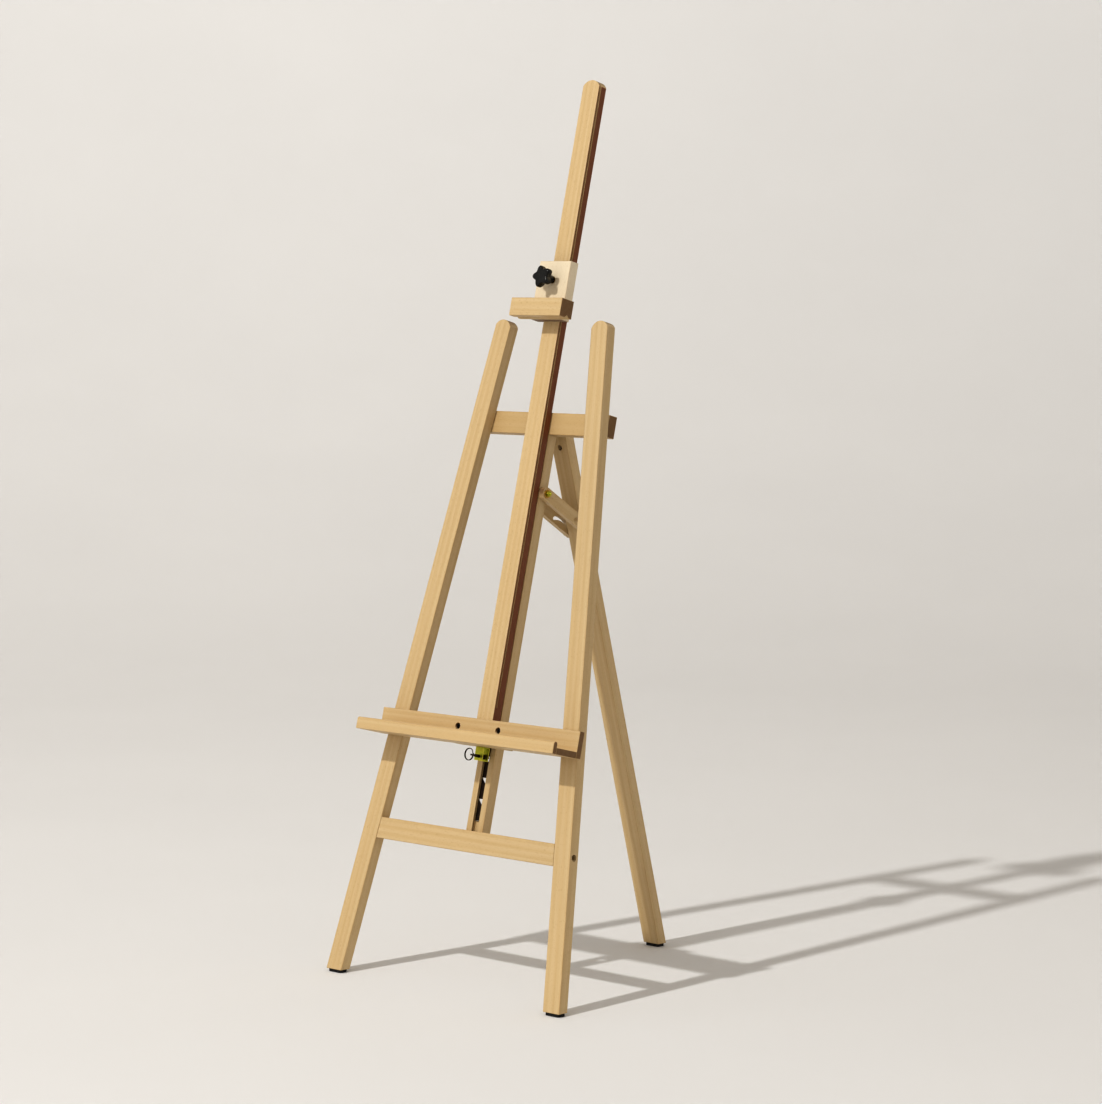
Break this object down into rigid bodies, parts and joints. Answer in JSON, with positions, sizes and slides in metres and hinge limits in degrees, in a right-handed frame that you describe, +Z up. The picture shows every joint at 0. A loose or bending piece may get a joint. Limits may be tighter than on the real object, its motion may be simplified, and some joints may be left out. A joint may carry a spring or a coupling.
{
  "type": "wooden studio easel",
  "caption": "Folding wooden easel with splayed front legs, a hinged rear leg, a sliding mast with a canvas tray and ratchet latch, and a top clamp with a star knob.",
  "frame": {"origin": "on the floor, under the middle of the bounding box", "axes": "+Z up, front of the easel towards -Y, +X to the right seen from the front"},
  "size_m": [0.6124, 0.6308, 1.7194],
  "materials": {
    "beech": "clear satin lacquer on straight-grained beech",
    "zinc": "yellow passivated zinc plating",
    "steel": "plain steel",
    "black_steel": "black oxide strip",
    "black_plastic": "moulded, satin",
    "nylon": "dark nylon",
    "brass": "turned",
    "rubber": "matt black"
  },
  "bodies": {
    "frame": {"leg_left": "beech", "leg_right": "beech", "lower_crossbar": "beech", "upper_crossbar": "beech", "post_rail_left": "beech", "post_rail_right": "beech", "post_bottom_block": "beech", "post_top_block": "beech", "rack_strip": "black_steel", "crossbar_bolt_left": "steel", "barrel_nut_left": "steel", "crossbar_screw_left_low": "zinc", "crossbar_screw_left_high": "zinc", "post_screw_left": "zinc", "post_dowel_left": "beech", "hinge_screw_frame_left": "zinc", "foot_pad_left": "rubber", "crossbar_bolt_right": "steel", "barrel_nut_right": "steel", "crossbar_screw_right_low": "zinc", "crossbar_screw_right_high": "zinc", "post_screw_right": "zinc", "post_dowel_right": "beech", "hinge_screw_frame_right": "zinc", "foot_pad_right": "rubber", "hinge_leaf_frame": "zinc", "hinge_pin": "steel", "spreader_bolt_front": "zinc", "spreader_washer_front": "zinc", "spreader_nut_front": "zinc"},
    "rear_leg": {"rear_leg": "beech", "hinge_leaf_leg": "zinc", "hinge_screw_leg_left": "zinc", "hinge_screw_leg_right": "zinc", "spreader_bolt_rear": "zinc", "spreader_nut_rear": "zinc", "foot_pad_rear": "rubber"},
    "spreader": {"spreader_arm_left": "beech", "spreader_arm_right": "beech"},
    "mast_unit": {"mast": "beech", "guide_key_lower": "nylon", "guide_key_upper": "nylon", "tray_carriage": "beech", "tray_back": "beech", "tray_base": "beech", "tray_lip": "beech", "tray_bolt_left": "zinc", "tray_bolt_right": "zinc", "tray_nut_left": "zinc", "tray_nut_right": "zinc", "latch_bracket": "zinc", "latch_spring": "steel"},
    "latch": {"latch_plunger": "steel"},
    "latch_ring": {"latch_ring": "steel"},
    "clamp": {"clamp_block": "beech", "clamp_bar": "beech", "clamp_insert": "brass", "clamp_pad": "nylon"},
    "clamp_knob": {"clamp_knob": "black_plastic", "clamp_screw": "steel"}
  },
  "joints": [
    {"name": "mast_slide", "type": "slide", "parent": "frame", "child": "mast_unit", "axis": [0, 0.2419, 0.9703], "range_m": [-0.1218, 0.3248]},
    {"name": "clamp_slide", "type": "slide", "parent": "mast_unit", "child": "clamp", "axis": [0, 0.2419, 0.9703], "range_m": [-0.7, 0.34]},
    {"name": "clamp_knob_turn", "type": "hinge", "parent": "clamp", "child": "clamp_knob", "pos_m": [0, -0.02665, 1.34183], "axis": [0, -0.9703, 0.2419], "continuous": true},
    {"name": "latch_pull", "type": "slide", "parent": "mast_unit", "child": "latch", "axis": [0, -0.9703, 0.2419], "range_m": [0, 0.006], "stiffness_N_per_m": 400, "springref_m": -0.005},
    {"name": "ring_swing", "type": "hinge", "parent": "latch", "child": "latch_ring", "pos_m": [0, -0.22156, 0.44226], "axis": [0, 0.2419, 0.9703], "range_deg": [-70, 70]},
    {"name": "rear_leg_fold", "type": "hinge", "parent": "frame", "child": "rear_leg", "pos_m": [0, 0.00079, 1.06909], "axis": [-1, 0, 0], "range_deg": [0, 28.5]},
    {"name": "spreader_fold", "type": "hinge", "parent": "frame", "child": "spreader", "pos_m": [0, -0.05124, 0.92902], "axis": [-1, 0, 0], "range_deg": [0, 48.78]}
  ],
  "couplings": [
    {"joint": "spreader_fold", "follows": "rear_leg_fold", "ratio": 1.71}
  ]
}
